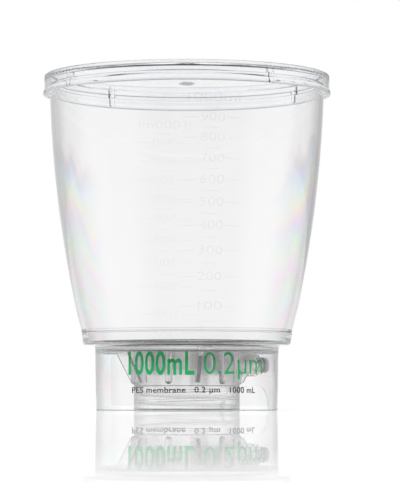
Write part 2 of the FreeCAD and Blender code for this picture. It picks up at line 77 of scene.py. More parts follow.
class Wire:
    """The output of a shader node.  Sums and products of wires add Math nodes."""

    def __init__(self, shader, socket):
        self.shader = shader
        self.socket = socket

    def maths(self, operation, *values):
        return self.shader.node("ShaderNodeMath", {"operation": operation}, dict(enumerate(values)))

    def __add__(self, other):
        return self.maths("ADD", self, other)

    def __radd__(self, other):
        return self.maths("ADD", other, self)

    def __sub__(self, other):
        return self.maths("SUBTRACT", self, other)

    def __rsub__(self, other):
        return self.maths("SUBTRACT", other, self)

    def __mul__(self, other):
        return self.maths("MULTIPLY", self, other)

    def __rmul__(self, other):
        return self.maths("MULTIPLY", other, self)

    def __truediv__(self, other):
        return self.maths("DIVIDE", self, other)

    def __rtruediv__(self, other):
        return self.maths("DIVIDE", other, self)

    def __pow__(self, other):
        return self.maths("POWER", self, other)

    def size(self):
        return self.maths("ABSOLUTE", self)

    def larger(self, other):
        return self.maths("MAXIMUM", self, other)

    def cosine(self):
        return self.maths("COSINE", self)

    def arc_tangent(self, other):
        return self.maths("ARCTAN2", self, other)

    def rise(self, start, end):
        """0 below start, 1 above end, and smooth between them."""
        return self.shader.node(
            "ShaderNodeMapRange",
            {"interpolation_type": "SMOOTHSTEP", "clamp": True},
            {"Value": self, "From Min": start, "From Max": end},
        )

    def toward(self, other, share):
        """This value moved by a share of the way to another."""
        return self + (other - self) * share


class Shader:
    """The node tree of a material or of the world, started afresh."""

    def __init__(self, owner):
        owner.use_nodes = True
        self.owner = owner
        self.tree = owner.node_tree
        self.tree.nodes.clear()

    def node(self, kind, settings, sockets, output=0):
        """Adds a node: its type, its settings, then a value or a wire for each of its sockets."""
        node = self.tree.nodes.new(kind)
        for name, setting in settings.items():
            setattr(node, name, setting)
        for name, value in sockets.items():
            if isinstance(value, Wire):
                self.tree.links.new(value.socket, node.inputs[name])
            else:
                node.inputs[name].default_value = value
        return Wire(self, node.outputs[output]) if node.outputs else None

    def split(self, vector):
        across = self.node("ShaderNodeSeparateXYZ", {}, {"Vector": vector})
        return [Wire(self, output) for output in across.socket.node.outputs]

    def colour(self, red, green, blue):
        return self.node("ShaderNodeCombineColor", {}, {"Red": red, "Green": green, "Blue": blue})

    def light_path(self, output):
        return self.node("ShaderNodeLightPath", {}, {}, output)


world = bpy.data.worlds.new("surroundings")
scene.world = world
sky = Shader(world)
toward_x, toward_y, toward_z = sky.split(sky.node("ShaderNodeTexCoord", {}, {}, "Generated"))
level = (toward_x * toward_x + toward_y * toward_y) + 1e-6
quarter = (2.0 * toward_x * toward_y / level).size()
side = (toward_x / level ** 0.5).rise(-0.5, 0.5)
facing = 0.0 - toward_y / level ** 0.5
high = toward_z.rise(0.30, 0.70)

# what shows through clear walls: panels, dim corners, a dark top and a dim front
corner = 0.60 - 0.10 * side
panel = 1.0 - 0.22 * toward_z.rise(0.04, 0.30)
through = corner.toward(panel, 1.0 - quarter.rise(0.24, 0.56))
through = through * (1.0 - 0.65 * high) * (0.96 + 0.04 * toward_x.size().rise(0.022, 0.040))
through = through * (1.0 - 0.5 * facing.rise(0.3, 0.8) * toward_z.rise(-0.05, 0.1))

# what glossy and matte faces get: bright from the open front, and plain from above
open_side = 0.95 - 0.50 * facing.rise(0.80, 0.97)
mirrored = through.toward(open_side, facing.rise(-0.25, 0.25))
mirrored = mirrored.toward(0.8, toward_z.rise(0.0, 0.95))

# the deepest parts of the base, and matte faces behind clear walls, get plain light
seen_through = sky.light_path("Is Transmission Ray")
bluer = high * through * seen_through
through = through.toward(0.95, 0.85 * sky.light_path("Transmission Depth").rise(4.0, 9.0))
through = through.toward(1.15, sky.light_path("Diffuse Depth").rise(0.0, 1.0))
brightness = mirrored.toward(through, seen_through).toward(1.0, sky.light_path("Is Camera Ray"))
sky.node("ShaderNodeOutputWorld", {}, {
    "Surface": sky.node("ShaderNodeBackground", {}, {
        "Color": sky.colour(brightness - 0.10 * bluer, brightness - 0.05 * bluer, brightness),
    }),
})


# ---- floor -----------------------------------------------------------------------------------
# A white glossy sheet, seen almost edge on: it mirrors the foot of the unit, and the mirror
# image fades towards the front.  It stays white away from the unit and takes its shadow.

FLOOR_WIDTH = 8.0
MIRRORED_UP_TO = (0.014, 0.043)    # heights on the unit between which its mirror image fades

bpy.ops.object.select_all(action="DESELECT")
bpy.ops.mesh.primitive_plane_add(size=FLOOR_WIDTH, location=(0, 0, 0))
floor = bpy.context.object
floor.name = "floor"
paint = Shader(bpy.data.materials.new("white_acrylic_sheet"))
across, away, up = paint.split(paint.node("ShaderNodeTexCoord", {}, {}, "Object"))
front = (0.0 - away).larger(0.0)
mirrored_height = CAMERA_HEIGHT * front / (CAMERA_DISTANCE - front)
strength = 0.66 * (1.0 - mirrored_height.rise(*MIRRORED_UP_TO))
grazing = paint.node("ShaderNodeFresnel", {}, {"IOR": 1.45})
watched = paint.light_path("Is Camera Ray").larger(
    paint.light_path("Is Glossy Ray").larger(paint.light_path("Is Transmission Ray")))
matte = paint.node("ShaderNodeBsdfDiffuse", {}, {"Color": (0.86, 0.86, 0.86, 1)})
glow = paint.node("ShaderNodeEmission", {}, {"Color": (1, 1, 1, 1), "Strength": 0.40})
lifted = paint.node("ShaderNodeAddShader", {}, {0: matte, 1: glow})
white = paint.node("ShaderNodeMixShader", {}, {0: watched, 1: matte, 2: lifted})
mirror = paint.node("ShaderNodeBsdfAnisotropic", {}, {"Color": (1, 1, 1, 1), "Roughness": 0.0})
sheet = paint.node("ShaderNodeMixShader", {}, {0: grazing * strength, 1: white, 2: mirror})
paint.node("ShaderNodeOutputMaterial", {}, {"Surface": sheet})
floor.data.materials.append(paint.owner)


# ---- funnel ----------------------------------------------------------------------------------
# The clear 1000 ml funnel, with a round rim and a stepped foot that stands on the base's rim.
# Polished crystal polystyrene, injection moulded in one piece and welded to the base.

MM = 0.001


def pick(piece):
    """Makes a piece the only one selected, and the active one."""
    bpy.ops.object.select_all(action="DESELECT")
    piece.select_set(True)
    bpy.context.view_layer.objects.active = piece


def settle():
    """Puts the place, turn and scale of the piece in hand into its mesh."""
    bpy.ops.object.transform_apply(location=True, rotation=True, scale=True)


def rounded(corners, steps=4):
    """The points of an outline, where a corner (across, up, radius) is rounded to its radius."""
    points = []
    for index, corner in enumerate(corners):
        if len(corner) == 2:
            points.append(corner)
            continue
        x, y, radius = corner
        before, after = corners[index - 1], corners[(index + 1) % len(corners)]
        first = math.atan2(before[1] - y, before[0] - x)
        last = math.atan2(after[1] - y, after[0] - x)
        turn = (last - first + math.pi) % (2 * math.pi) - math.pi
        reach = radius / math.tan(abs(turn) / 2)
        centre_away = radius / math.sin(abs(turn) / 2)
        middle = first + turn / 2
        centre = (x + centre_away * math.cos(middle), y + centre_away * math.sin(middle))
        start = math.atan2(y + reach * math.sin(first) - centre[1], x + reach * math.cos(first) - centre[0])
        end = math.atan2(y + reach * math.sin(last) - centre[1], x + reach * math.cos(last) - centre[0])
        sweep = (end - start + math.pi) % (2 * math.pi) - math.pi
        for step in range(steps + 1):
            angle = start + sweep * step / steps
            points.append((centre[0] + radius * math.cos(angle), centre[1] + radius * math.sin(angle)))
    return points


def draw_outline(name, points, aside=0.0):
    """Draws an outline vertex by vertex in the upright plane, in millimetres, in edit mode."""
    bpy.ops.object.select_all(action="DESELECT")
    bpy.ops.mesh.primitive_plane_add(
        size=MM, location=(points[0][0] * MM, aside * MM, points[0][1] * MM))
    piece = bpy.context.object
    piece.name = name
    bpy.ops.object.mode_set(mode="EDIT")
    bpy.ops.mesh.merge(type="CENTER")
    for here, there in zip(points, points[1:]):
        step = ((there[0] - here[0]) * MM, 0, (there[1] - here[1]) * MM)
        bpy.ops.mesh.extrude_vertices_move(TRANSFORM_OT_translate={"value": step})
    bpy.ops.mesh.select_all(action="SELECT")
    return piece


def face_outward():
    """Turns all faces of the piece in edit mode outward, and leaves edit mode."""
    bpy.ops.mesh.select_all(action="SELECT")
    bpy.ops.mesh.normals_make_consistent(inside=False)
    bpy.ops.object.mode_set(mode="OBJECT")


def turn_outline(name, points, steps=192):
    """Spins an outline, given in millimetres from the axis and up it, about the axis."""
    piece = draw_outline(name, points + points[:1])
    bpy.ops.mesh.spin(steps=steps, angle=2 * math.pi, center=(0, 0, 0), axis=(0, 0, 1))
    bpy.ops.mesh.select_all(action="SELECT")
    bpy.ops.mesh.remove_doubles(threshold=1e-6)
    face_outward()
    settle()
    return piece


def smooth(piece):
    """Shades a piece smooth except over its sharp edges, with its large faces kept flat."""
    pick(piece)
    bpy.ops.object.shade_smooth_by_angle(angle=math.radians(30))
    bpy.ops.object.modifier_add(type="WEIGHTED_NORMAL")
    weighting = piece.modifiers[-1]
    weighting.keep_sharp = True
    weighting.weight = 100
    bpy.ops.object.modifier_apply(modifier=weighting.name)


def clear_plastic(name, tint, haze, colour_play, flow_haze=0.03, finish=None):
    """Clear polystyrene: faint flow lines in its gloss, and pale strain colours at its sides.

    finish gives the haze that a piece's own places add, and the share of light they let by, which also carries
    painted shade.
    """
    shader = Shader(bpy.data.materials.new(name))
    place = shader.node("ShaderNodeTexCoord", {}, {}, "Object")
    x, y, z = shader.split(place)
    stretched = shader.node("ShaderNodeMapping", {}, {"Vector": place, "Scale": (1, 1, 0.3)})
    drift = shader.node("ShaderNodeTexNoise", {}, {"Vector": stretched, "Scale": 60.0, "Detail": 1.0})
    flow = shader.node("ShaderNodeTexNoise", {}, {"Vector": stretched, "Scale": 420.0, "Detail": 3.0})
    reach = (x * x + y * y) ** 0.5 + 1e-4
    sideways = (x.size() / reach).rise(0.66, 0.92) - 0.6 * (x.size() / reach).rise(0.94, 1.0)
    delay = 0.55 + 22.0 * (0.117 - z) - 14.0 * (reach - x.size()) + 1.2 * (drift - 0.5)
    amount = colour_play * sideways * (1.25 - 0.3 * delay) * delay.rise(0.37, 0.52)
    added_haze, clearness_and_shade = finish(shader, place, x, y, z) if finish else (0.0, 1.0)
    bands = []
    for wavelength, share in zip((0.63, 0.54, 0.45), tint):
        fringe = 0.5 + 0.5 * (delay * (2 * math.pi / wavelength)).cosine()
        bands.append(share * (1.0 - amount * fringe) * clearness_and_shade)
    shader.node("ShaderNodeOutputMaterial", {}, {"Surface": shader.node("ShaderNodeBsdfPrincipled", {}, {
        "Base Color": shader.colour(*bands),
        "Roughness": haze + flow_haze * flow.rise(0.5, 0.75) + added_haze,
        "IOR": 1.59,
        "Transmission Weight": 1.0,
        "Specular Tint": (0.4, 0.4, 0.4, 1),
        "Normal": shader.node("ShaderNodeBump", {}, {"Height": drift, "Strength": 0.02, "Distance": 0.0008}),
    })})
    return shader.owner


WALL = 2.0
WALL_CURVE = 570.0                 # radius of the long curve of the wall, on its outside
CURVE_ACROSS, CURVE_UP = -505.61, 166.51
CURVE_START = 48.0                 # below this height the wall is straight
FLARE = math.radians(12)           # lean of the straight part
CUP_BORE = 47.0
SHOULDER = 36.9                    # where the bore starts to widen
WELD = 35.62
CURVE_STEPS = 24


def wall_curve(height, inward=0.0):
    """How far from the axis the long curve of the wall stands at a height."""
    return CURVE_ACROSS + math.sqrt((WALL_CURVE - inward) ** 2 - (height - CURVE_UP) ** 2)


rim_radius = WALL / 2
rim_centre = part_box("funnel")[1].z / MM - rim_radius
outside, inside = [], []
for step in range(CURVE_STEPS + 1):
    height = CURVE_START + (rim_centre - CURVE_START) * step / CURVE_STEPS
    outside.append((wall_curve(height), height))
    height = rim_centre + (CURVE_START + 0.42 - rim_centre) * step / CURVE_STEPS
    inside.append((wall_curve(height, WALL), height))
rim = []
for step in range(1, 12):
    angle = math.pi * step / 12
    rim.append((outside[-1][0] + rim_radius * (math.cos(angle) - 1), rim_centre + rim_radius * math.sin(angle)))
foot = [
    (CUP_BORE, SHOULDER, 0.4),
    (CUP_BORE, WELD),
    (48.75, WELD),
    (48.75, 35.95, 0.1),
    (48.98, 36.1, 0.1),
    (49.12, 37.05, 0.1),
    (49.05, 37.15, 0.1),
]
funnel = turn_outline("clear_funnel", rounded(outside + rim + inside + foot, 6))
smooth(funnel)
funnel.data.materials.append(clear_plastic("funnel_polystyrene", (0.973, 0.973, 0.974), 0.012, 0.11))
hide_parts("funnel")
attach(funnel, "unit")


# ---- graduations -----------------------------------------------------------------------------
# Two opposite scales from 50 to 1000 ml, thin raised strokes on the outside of the funnel.
# The same polystyrene as the funnel, darkened by a grey filter as painted shade; the heights come from the volume
# that its bore holds.

def merge_pieces(pieces):
    bpy.ops.object.select_all(action="DESELECT")
    for piece in pieces:
        piece.select_set(True)
    bpy.context.view_layer.objects.active = pieces[0]
    bpy.ops.object.join()
    return pieces[0]


def lettering(name, words, height, width, weight, thickness):
    """Words as a flat mesh in the upright plane, centred, facing the front, fitted to a width."""
    bpy.ops.object.select_all(action="DESELECT")
    bpy.ops.object.text_add(location=(0, 0, 0))
    piece = bpy.context.object
    piece.name = name
    piece.data.body = words
    piece.data.size = height / 0.73 * MM
    piece.data.align_x = "CENTER"
    piece.data.align_y = "CENTER"
    piece.data.offset = weight * MM
    piece.data.extrude = thickness / 2 * MM
    piece.data.space_character = 1.0 + 3.0 * max(weight, 0.0) / height
    piece.data.resolution_u = 4
    bpy.ops.object.convert(target="MESH")
    piece = bpy.context.object
    piece.rotation_euler = (math.radians(90), 0, 0)
    piece.scale = (width * MM / piece.dimensions.x, 1, 1)
    settle()
    return piece


def stroke(centre):
    """A straight raised line: a plane cut in six, extruded and softened at its edge."""
    bpy.ops.object.select_all(action="DESELECT")
    bpy.ops.mesh.primitive_plane_add(
        size=MM, location=(centre * MM, STROKE_RAISED / 2 * MM, 0), rotation=(math.radians(90), 0, 0))
    piece = bpy.context.object
    piece.name = "stroke"
    piece.scale = (STROKE_LENGTH, STROKE_WIDTH, 1)
    settle()
    bpy.ops.object.mode_set(mode="EDIT")
    bpy.ops.mesh.subdivide(number_cuts=5)
    bpy.ops.mesh.extrude_region_move(TRANSFORM_OT_translate={"value": (0, -STROKE_RAISED * MM, 0)})
    bpy.ops.transform.resize(value=(0.99, 1, 0.6))
    face_outward()
    return piece


def set_out(piece, away, height, azimuth):
    """Moves a piece from the axis to the front and up, and turns it to its azimuth."""
    pick(piece)
    piece.location = (0, -away * MM, height * MM)
    settle()
    piece.rotation_euler = (0, 0, math.radians(azimuth))
    settle()
    return piece


def wrap(piece, radius, height, slope, azimuth):
    """Bends a flat piece to a radius, leans it with the wall and puts it in its place."""
    pick(piece)
    width = max(v.co.x for v in piece.data.vertices) - min(v.co.x for v in piece.data.vertices)
    bpy.ops.object.modifier_add(type="SIMPLE_DEFORM")
    bend = piece.modifiers[-1]
    bend.deform_method = "BEND"
    bend.deform_axis = "Z"
    bend.angle = width / (radius * MM)
    bpy.ops.object.modifier_apply(modifier=bend.name)
    piece.rotation_euler = (slope, 0, 0)
    settle()
    return set_out(piece, radius, height, azimuth)


NUMERAL_HEIGHT = 4.2
NUMERAL_WIDTH, TOP_MARK_WIDTH = 10.8, 24.0
NUMERAL_WEIGHT = -0.08             # thinner than the typeface
STROKE_LENGTH, STROKE_WIDTH, STROKE_RAISED = 7.2, 0.26, 0.12
STROKE_ASIDE = 10.1                # centre of the strokes on both sides of a numeral
SCALE_AZIMUTHS = (10.9, 190.9)
MARK_VOLUME = 52.5                 # 50 ml by the modelled bore, which runs 5 % over
BORE_FLOOR = 32.0


def bore_radius(height):
    bend = CURVE_START + 0.4
    if height < SHOULDER:
        return CUP_BORE
    if height < bend:
        return CUP_BORE + 2.4 * (height - SHOULDER) / (bend - SHOULDER)
    return wall_curve(height, WALL)


mark_heights = []
filled, height = 0.0, BORE_FLOOR
while len(mark_heights) < 20:
    filled += math.pi * bore_radius(height + 0.05) ** 2 * 0.1 / 1000
    height += 0.1
    if filled >= MARK_VOLUME * (len(mark_heights) + 1):
        mark_heights.append(height)
marks = []
for count, height in enumerate(mark_heights, start=1):
    if height > CURVE_START:
        outer = wall_curve(height)
        slope = -math.atan((CURVE_UP - height) / (outer - CURVE_ACROSS))
    else:
        outer = 49.0 + (height - 36.8) * math.tan(FLARE)
        slope = -FLARE
    for azimuth in SCALE_AZIMUTHS:
        if count % 2:
            row = [stroke(0.0)]
        elif count < 20:
            row = [
                lettering("numeral", str(50 * count), NUMERAL_HEIGHT, NUMERAL_WIDTH, NUMERAL_WEIGHT, STROKE_RAISED),
                stroke(-STROKE_ASIDE),
                stroke(STROKE_ASIDE),
            ]
        else:
            row = [lettering("numeral", "1000ml", NUMERAL_HEIGHT, TOP_MARK_WIDTH, NUMERAL_WEIGHT, STROKE_RAISED)]
        marks.append(wrap(merge_pieces(row), outer + 0.08, height, slope, azimuth))
graduations = merge_pieces(marks)
graduations.name = "graduations"
graduations.data.materials.clear()
fused = Shader(bpy.data.materials.new("raised_strokes"))
place = fused.node("ShaderNodeTexCoord", {}, {}, "Object")
x, y, z = fused.split(place)
wear = fused.node("ShaderNodeTexNoise", {}, {"Vector": place, "Scale": 500.0, "Detail": 2.0})
# painted shade: a grey filter darkens the strokes, more towards the top and less on the back half
painted_stroke_shade = (0.14 + 0.14 * z.rise(0.12, 0.148)) * (1.0 - 0.35 * y.rise(-0.01, 0.01))
gap = fused.node("ShaderNodeBsdfTransparent", {}, {"Color": (1, 1, 1, 1)})
stroke_shade_filter = fused.node("ShaderNodeBsdfTransparent", {}, {"Color": (0.76, 0.79, 0.83, 1)})
gloss = fused.node("ShaderNodeBsdfPrincipled", {}, {
    "Base Color": (0.93, 0.96, 1.0, 1),
    "Roughness": 0.08 + 0.1 * wear,
    "Transmission Weight": 1.0,
    "IOR": 1.59,
})
seen = fused.node("ShaderNodeMixShader", {}, {0: painted_stroke_shade * (0.8 + 0.4 * wear), 1: gap, 2: stroke_shade_filter})
fused.node("ShaderNodeOutputMaterial", {}, {
    "Surface": fused.node("ShaderNodeMixShader", {}, {0: 0.03 + 0.04 * wear, 1: seen, 2: gloss}),
})
graduations.data.materials.append(fused.owner)
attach(graduations, "unit")


# ---- membrane --------------------------------------------------------------------------------
# The white filter disc, 90 mm across, clamped at its edge between base and funnel.
# Matte porous film with a fine even tooth.

MEMBRANE_BOTTOM, MEMBRANE_TOP = 31.8, 31.99

membrane = turn_outline("filter_membrane", rounded([
    (0, MEMBRANE_BOTTOM),
    (44.95, MEMBRANE_BOTTOM, 0.04),
    (44.95, MEMBRANE_TOP, 0.04),
    (0, MEMBRANE_TOP),
], 2))
smooth(membrane)
film = Shader(bpy.data.materials.new("membrane_film"))
place = film.node("ShaderNodeTexCoord", {}, {}, "Object")
tooth = film.node("ShaderNodeTexNoise", {}, {"Vector": place, "Scale": 4000.0, "Detail": 2.0})
cloud = film.node("ShaderNodeTexNoise", {}, {"Vector": place, "Scale": 90.0, "Detail": 2.0})
shade = 0.90 + 0.04 * cloud
film.node("ShaderNodeOutputMaterial", {}, {"Surface": film.node("ShaderNodeBsdfPrincipled", {}, {
    "Base Color": film.colour(shade, shade, 0.99 * shade),
    "Roughness": 0.8 + 0.15 * tooth,
    "Normal": film.node("ShaderNodeBump", {}, {"Height": tooth, "Strength": 0.15, "Distance": 0.00005}),
})})
membrane.data.materials.append(film.owner)
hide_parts("membrane")
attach(membrane, "unit")


# ---- support grid ----------------------------------------------------------------------------
# The drain disc under the membrane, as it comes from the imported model.
# Clear polystyrene, left as moulded, so a little hazy.

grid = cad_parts["support_grid"]
grid.data.materials.clear()
grid.data.materials.append(clear_plastic("grid_polystyrene", (0.98, 0.982, 0.984), 0.12, 0.05))


# ---- base ------------------------------------------------------------------------------------
# The clear base: cup, plate, skirt, bottle collar, spigot, gussets, pins, drip tube and port.
# One polystyrene moulding, with a faintly dimmed panel on the front of the skirt for the print,
# and a notch in the skirt under the port, whose cut edge is darkened as painted shade.

def add_solid(piece, tool):
    join_by(piece, tool, "UNION")


def cut_solid(piece, tool):
    join_by(piece, tool, "DIFFERENCE")


def join_by(piece, tool, operation):
    """Adds or cuts a solid with an exact Boolean, and removes it."""
    bpy.ops.object.select_all(action="DESELECT")
    bpy.context.view_layer.objects.active = piece
    bpy.ops.object.modifier_add(type="BOOLEAN")
    boolean = piece.modifiers[-1]
    boolean.operation = operation
    boolean.solver = "EXACT"
    boolean.object = tool
    bpy.ops.object.modifier_apply(modifier=boolean.name)
    bpy.data.objects.remove(tool)


def rib(name, points, width, azimuth=90):
    """A radial rib: an outline in the upright plane through the axis, filled and extruded."""
    piece = draw_outline(name, points, -width / 2)
    bpy.ops.mesh.edge_face_add()
    bpy.ops.mesh.extrude_region_move(TRANSFORM_OT_translate={"value": (0, width * MM, 0)})
    face_outward()
    settle()
    piece.rotation_euler = (0, 0, math.radians(azimuth - 90))
    settle()
    return piece


def arc(across, up, radius, first, last, steps):
    """Points on an arc, with its angles in degrees."""
    points = []
    for step in range(steps + 1):
        angle = math.radians(first + (last - first) * step / steps)
        points.append((across + radius * math.cos(angle), up + radius * math.sin(angle)))
    return points


def post(name, radius, bottom, top, across=0.0, away=0.0, steps=40, domed=False):
    """An upright round post, or the filling of an upright bore, with a domed foot if asked."""
    outline = arc(0, bottom + radius, radius, -90, 0, 6) if domed else [(0, bottom), (radius, bottom)]
    piece = turn_outline(name, outline + [(radius, top), (0, top)], steps)
    piece.location = (across * MM, away * MM, 0)
    settle()
    return piece


def lay_along_port(piece):
    """Turns a piece made about the upright axis so that it lies along the port's axis."""
    pick(piece)
    piece.rotation_mode = "XYZ"
    piece.rotation_euler = (0, math.radians(90), math.radians(PORT_AZIMUTH - 90))
    piece.location = (0, 0, PORT_HEIGHT * MM)
    settle()
    return piece


EDGE = 0.2                                     # the small radius that moulded edges have
PLATE_BOTTOM, PLATE_TOP = 27.4, 29.5
ROOT = 28.45                                   # ribs and posts end inside the plate
SPIGOT_BORE, SPIGOT_RADIUS, SPIGOT_END = 14.8, 16.3, 16.7
COLLAR_BORE, COLLAR_RADIUS = 22.0, 24.6
THREAD_RADIUS, THREAD_TOP = 22.75, 11.3
SKIRT_FOOT = (40.9, 42.2)                      # inside and outside at the floor
FLANGE, FLANGE_RADIUS = 30.0, 48.07
PORT_AZIMUTH, PORT_HEIGHT = 130.8, 22.0
SOCKET_RADIUS, SOCKET_BOTTOM = 3.3, 33.4       # the connector's hole in the boss
PASSAGE_RADIUS = 1.7
PIN_AZIMUTH, PIN_RADIUS = -19.2, 1.7
DRIP_ACROSS, DRIP_RADIUS, DRIP_BORE = 5.8, 4.05, 2.85
NOTCH_WIDTH, NOTCH_TOP, NOTCH_CORNER = 29.7, 11.6, 10.5
THREAD_PITCH = 4.0
# the print's panel, along the wall and up it, in metres as the shader counts
PANEL_RADIUS, PANEL_CORNER = 0.0426, 0.0022
PANEL_MIDDLE, PANEL_HALF = (0.0037, 0.0135), (0.0423, 0.0092)

base = turn_outline("clear_base", rounded([
    (0, PLATE_BOTTOM),
    (SPIGOT_BORE, PLATE_BOTTOM, EDGE),
    (SPIGOT_BORE, SPIGOT_END, EDGE),
    (SPIGOT_RADIUS, SPIGOT_END, EDGE),
    (SPIGOT_RADIUS, PLATE_BOTTOM, EDGE),
    (COLLAR_BORE, PLATE_BOTTOM, EDGE),
    (COLLAR_BORE, THREAD_TOP, EDGE),
    (THREAD_RADIUS, THREAD_TOP, EDGE),
    (THREAD_RADIUS, 0.8, EDGE),
    (23.4, 0.0, EDGE),
    (COLLAR_RADIUS, 0.0, EDGE),
    (COLLAR_RADIUS, PLATE_BOTTOM, 0.8),
    (41.2, PLATE_BOTTOM, 1.2),
    (SKIRT_FOOT[0], 0.0, EDGE),
    (SKIRT_FOOT[1], 0.0, 0.35),
    (42.7, FLANGE, 1.5),
    (FLANGE_RADIUS, FLANGE, 1.4),
    (49.0, 35.6, 0.25),
    (CUP_BORE, 35.6, EDGE),
    (CUP_BORE, MEMBRANE_BOTTOM, EDGE),
    (41.0, MEMBRANE_BOTTOM, EDGE),
    (41.0, PLATE_TOP, EDGE),
    (0, PLATE_TOP),
], 4))
ribs = []
for turn in range(6):
    ribs.append(rib("gusset", [(23.7, 12.8), (27.3, 12.8), (35.5, 27.5), (35.5, ROOT), (23.7, ROOT)],
                    1.8, PORT_AZIMUTH + 60 * turn))
    ribs.append(rib("stop", [(17.6, 19.1), (23.0, 19.1), (23.0, ROOT), (17.6, ROOT)],
                    1.2, PIN_AZIMUTH + 60 * turn))
    angle = math.radians(PIN_AZIMUTH + 60 * turn)
    ribs.append(post("pin", PIN_RADIUS, 12.0, ROOT, COLLAR_RADIUS * math.sin(angle),
                     -COLLAR_RADIUS * math.cos(angle), 32, domed=True))
ribs.append(post("drip_tube", DRIP_RADIUS, 11.8, ROOT, DRIP_ACROSS))
add_solid(base, merge_pieces(ribs))
add_solid(base, lay_along_port(turn_outline("boss", [
    (0, 14.05), (2.9, 14.05), (2.9, 23.7), (5.7, 23.7), (5.7, 43.6), (5.4, 43.9), (0, 43.9)], 64)))
cut_solid(base, lay_along_port(turn_outline("bore", [
    (0, 13.3), (PASSAGE_RADIUS, 13.3), (PASSAGE_RADIUS, SOCKET_BOTTOM),
    (SOCKET_RADIUS, SOCKET_BOTTOM), (SOCKET_RADIUS, 46.0), (0, 46.0)], 48)))
cut_solid(base, post("drip_bore", DRIP_BORE, 10.0, 31.0, DRIP_ACROSS))
corner_across, corner_up = NOTCH_WIDTH / 2 - NOTCH_CORNER, NOTCH_TOP - NOTCH_CORNER
notch = rib(
    "notch",
    [(-NOTCH_WIDTH / 2, -2.0), (NOTCH_WIDTH / 2, -2.0)]
    + arc(corner_across, corner_up, NOTCH_CORNER, 0, 90, 8)
    + arc(-corner_across, corner_up, NOTCH_CORNER, 90, 180, 8),
    9.0,
)
cut_solid(base, set_out(notch, 41.0, 0, PORT_AZIMUTH))

thread_profile = [(23.1, 1.0), (23.1, 2.8), (21.8, 2.2), (21.8, 1.6)]
ridge = draw_outline("thread_ridge", thread_profile + thread_profile[:1])
bpy.ops.mesh.remove_doubles(threshold=1e-6)
bpy.ops.object.mode_set(mode="OBJECT")
settle()
bpy.ops.object.modifier_add(type="SCREW")
screw = ridge.modifiers[-1]
screw.angle = 2 * math.pi
screw.screw_offset = THREAD_PITCH * MM
screw.iterations = 2
screw.steps = 96
screw.render_steps = 96
screw.use_merge_vertices = False
bpy.ops.object.modifier_apply(modifier=screw.name)
bpy.ops.object.mode_set(mode="EDIT")
bpy.ops.mesh.select_all(action="SELECT")
bpy.ops.mesh.fill_holes(sides=4)
face_outward()
add_solid(base, ridge)
smooth(base)


def base_finish(shader, place, x, y, z):
    """The print's panel, the haze of the inner ribs and plate, and the notch's cut edge: rough, and darkened as
    painted shade.
    """
    radius = (x * x + y * y) ** 0.5
    grain = shader.node("ShaderNodeTexNoise", {}, {"Vector": place, "Scale": 3000.0, "Detail": 2.0})
    along = PANEL_RADIUS * x.arc_tangent(0.0 - y)
    past_side = ((along - PANEL_MIDDLE[0]).size() - PANEL_HALF[0]).larger(0.0)
    past_end = ((z - PANEL_MIDDLE[1]).size() - PANEL_HALF[1]).larger(0.0)
    past = (past_side * past_side + past_end * past_end) ** 0.5
    panel = (1.0 - past.rise(PANEL_CORNER - 0.0001, PANEL_CORNER + 0.0001)) * radius.rise(0.0416, 0.0418)
    inner = (1.0 - radius.rise(0.0395, 0.0405)) * (1.0 - z.rise(0.0302, 0.0308))
    inner_haze = inner * (0.08 + 0.10 * z.rise(0.0095, 0.0115))
    # the notch's cut edge: rough, and darkened in the colour below as painted shade
    rough_shaded_edge = radius.rise(0.04125, 0.0413) * (1.0 - radius.rise(0.04205, 0.0421)) * z.rise(0.0006, 0.0010)
    added_haze = 0.02 * panel * grain + inner_haze + 0.25 * rough_shaded_edge
    clearness_and_shade = (1.0 - panel * (0.11 + 0.06 * grain)) * (1.0 - 0.85 * rough_shaded_edge)
    return added_haze, clearness_and_shade


base.data.materials.append(clear_plastic(
    "base_polystyrene", (0.996, 0.997, 0.998), 0.02, 0.11, flow_haze=0.0, finish=base_finish))
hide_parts("base_housing")
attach(base, "unit")


# ---- print -----------------------------------------------------------------------------------
# The capacity in green, and the membrane's data in small dark type, on the front of the skirt.
# Screen-printed ink, a thin film that follows the wall.

def ink(name, colour, tint, cover):
    """A thin film of ink: partly a colour filter, and partly a body colour that hides."""
    shader = Shader(bpy.data.materials.new(name))
    place = shader.node("ShaderNodeTexCoord", {}, {}, "Object")
    patches = shader.node("ShaderNodeTexNoise", {}, {"Vector": place, "Scale": 900.0, "Detail": 3.0})
    body = shader.node("ShaderNodeBsdfPrincipled", {}, {
        "Base Color": shader.colour(*[part * (0.92 + 0.16 * patches) for part in colour]),
        "Roughness": 0.42 + 0.2 * patches,
    })
    filter_film = shader.node("ShaderNodeBsdfTransparent", {}, {"Color": (*tint, 1)})
    film = shader.node("ShaderNodeMixShader", {}, {0: cover + 0.1 * patches, 1: filter_film, 2: body})
    shader.node("ShaderNodeOutputMaterial", {}, {"Surface": film})
    return shader.owner


WALL_LEAN = -0.0167                # of the skirt, in radians
PRINT_THICKNESS = 0.05
FIGURE_HEIGHT, FIGURE_WIDTH, FIGURE_RADIUS, FIGURE_CENTRE = 10.7, 32.0, 42.55, 20.7
DATA_HEIGHT, DATA_WIDTH, DATA_RADIUS, DATA_CENTRE = 2.7, 61.0, 42.4, 9.1

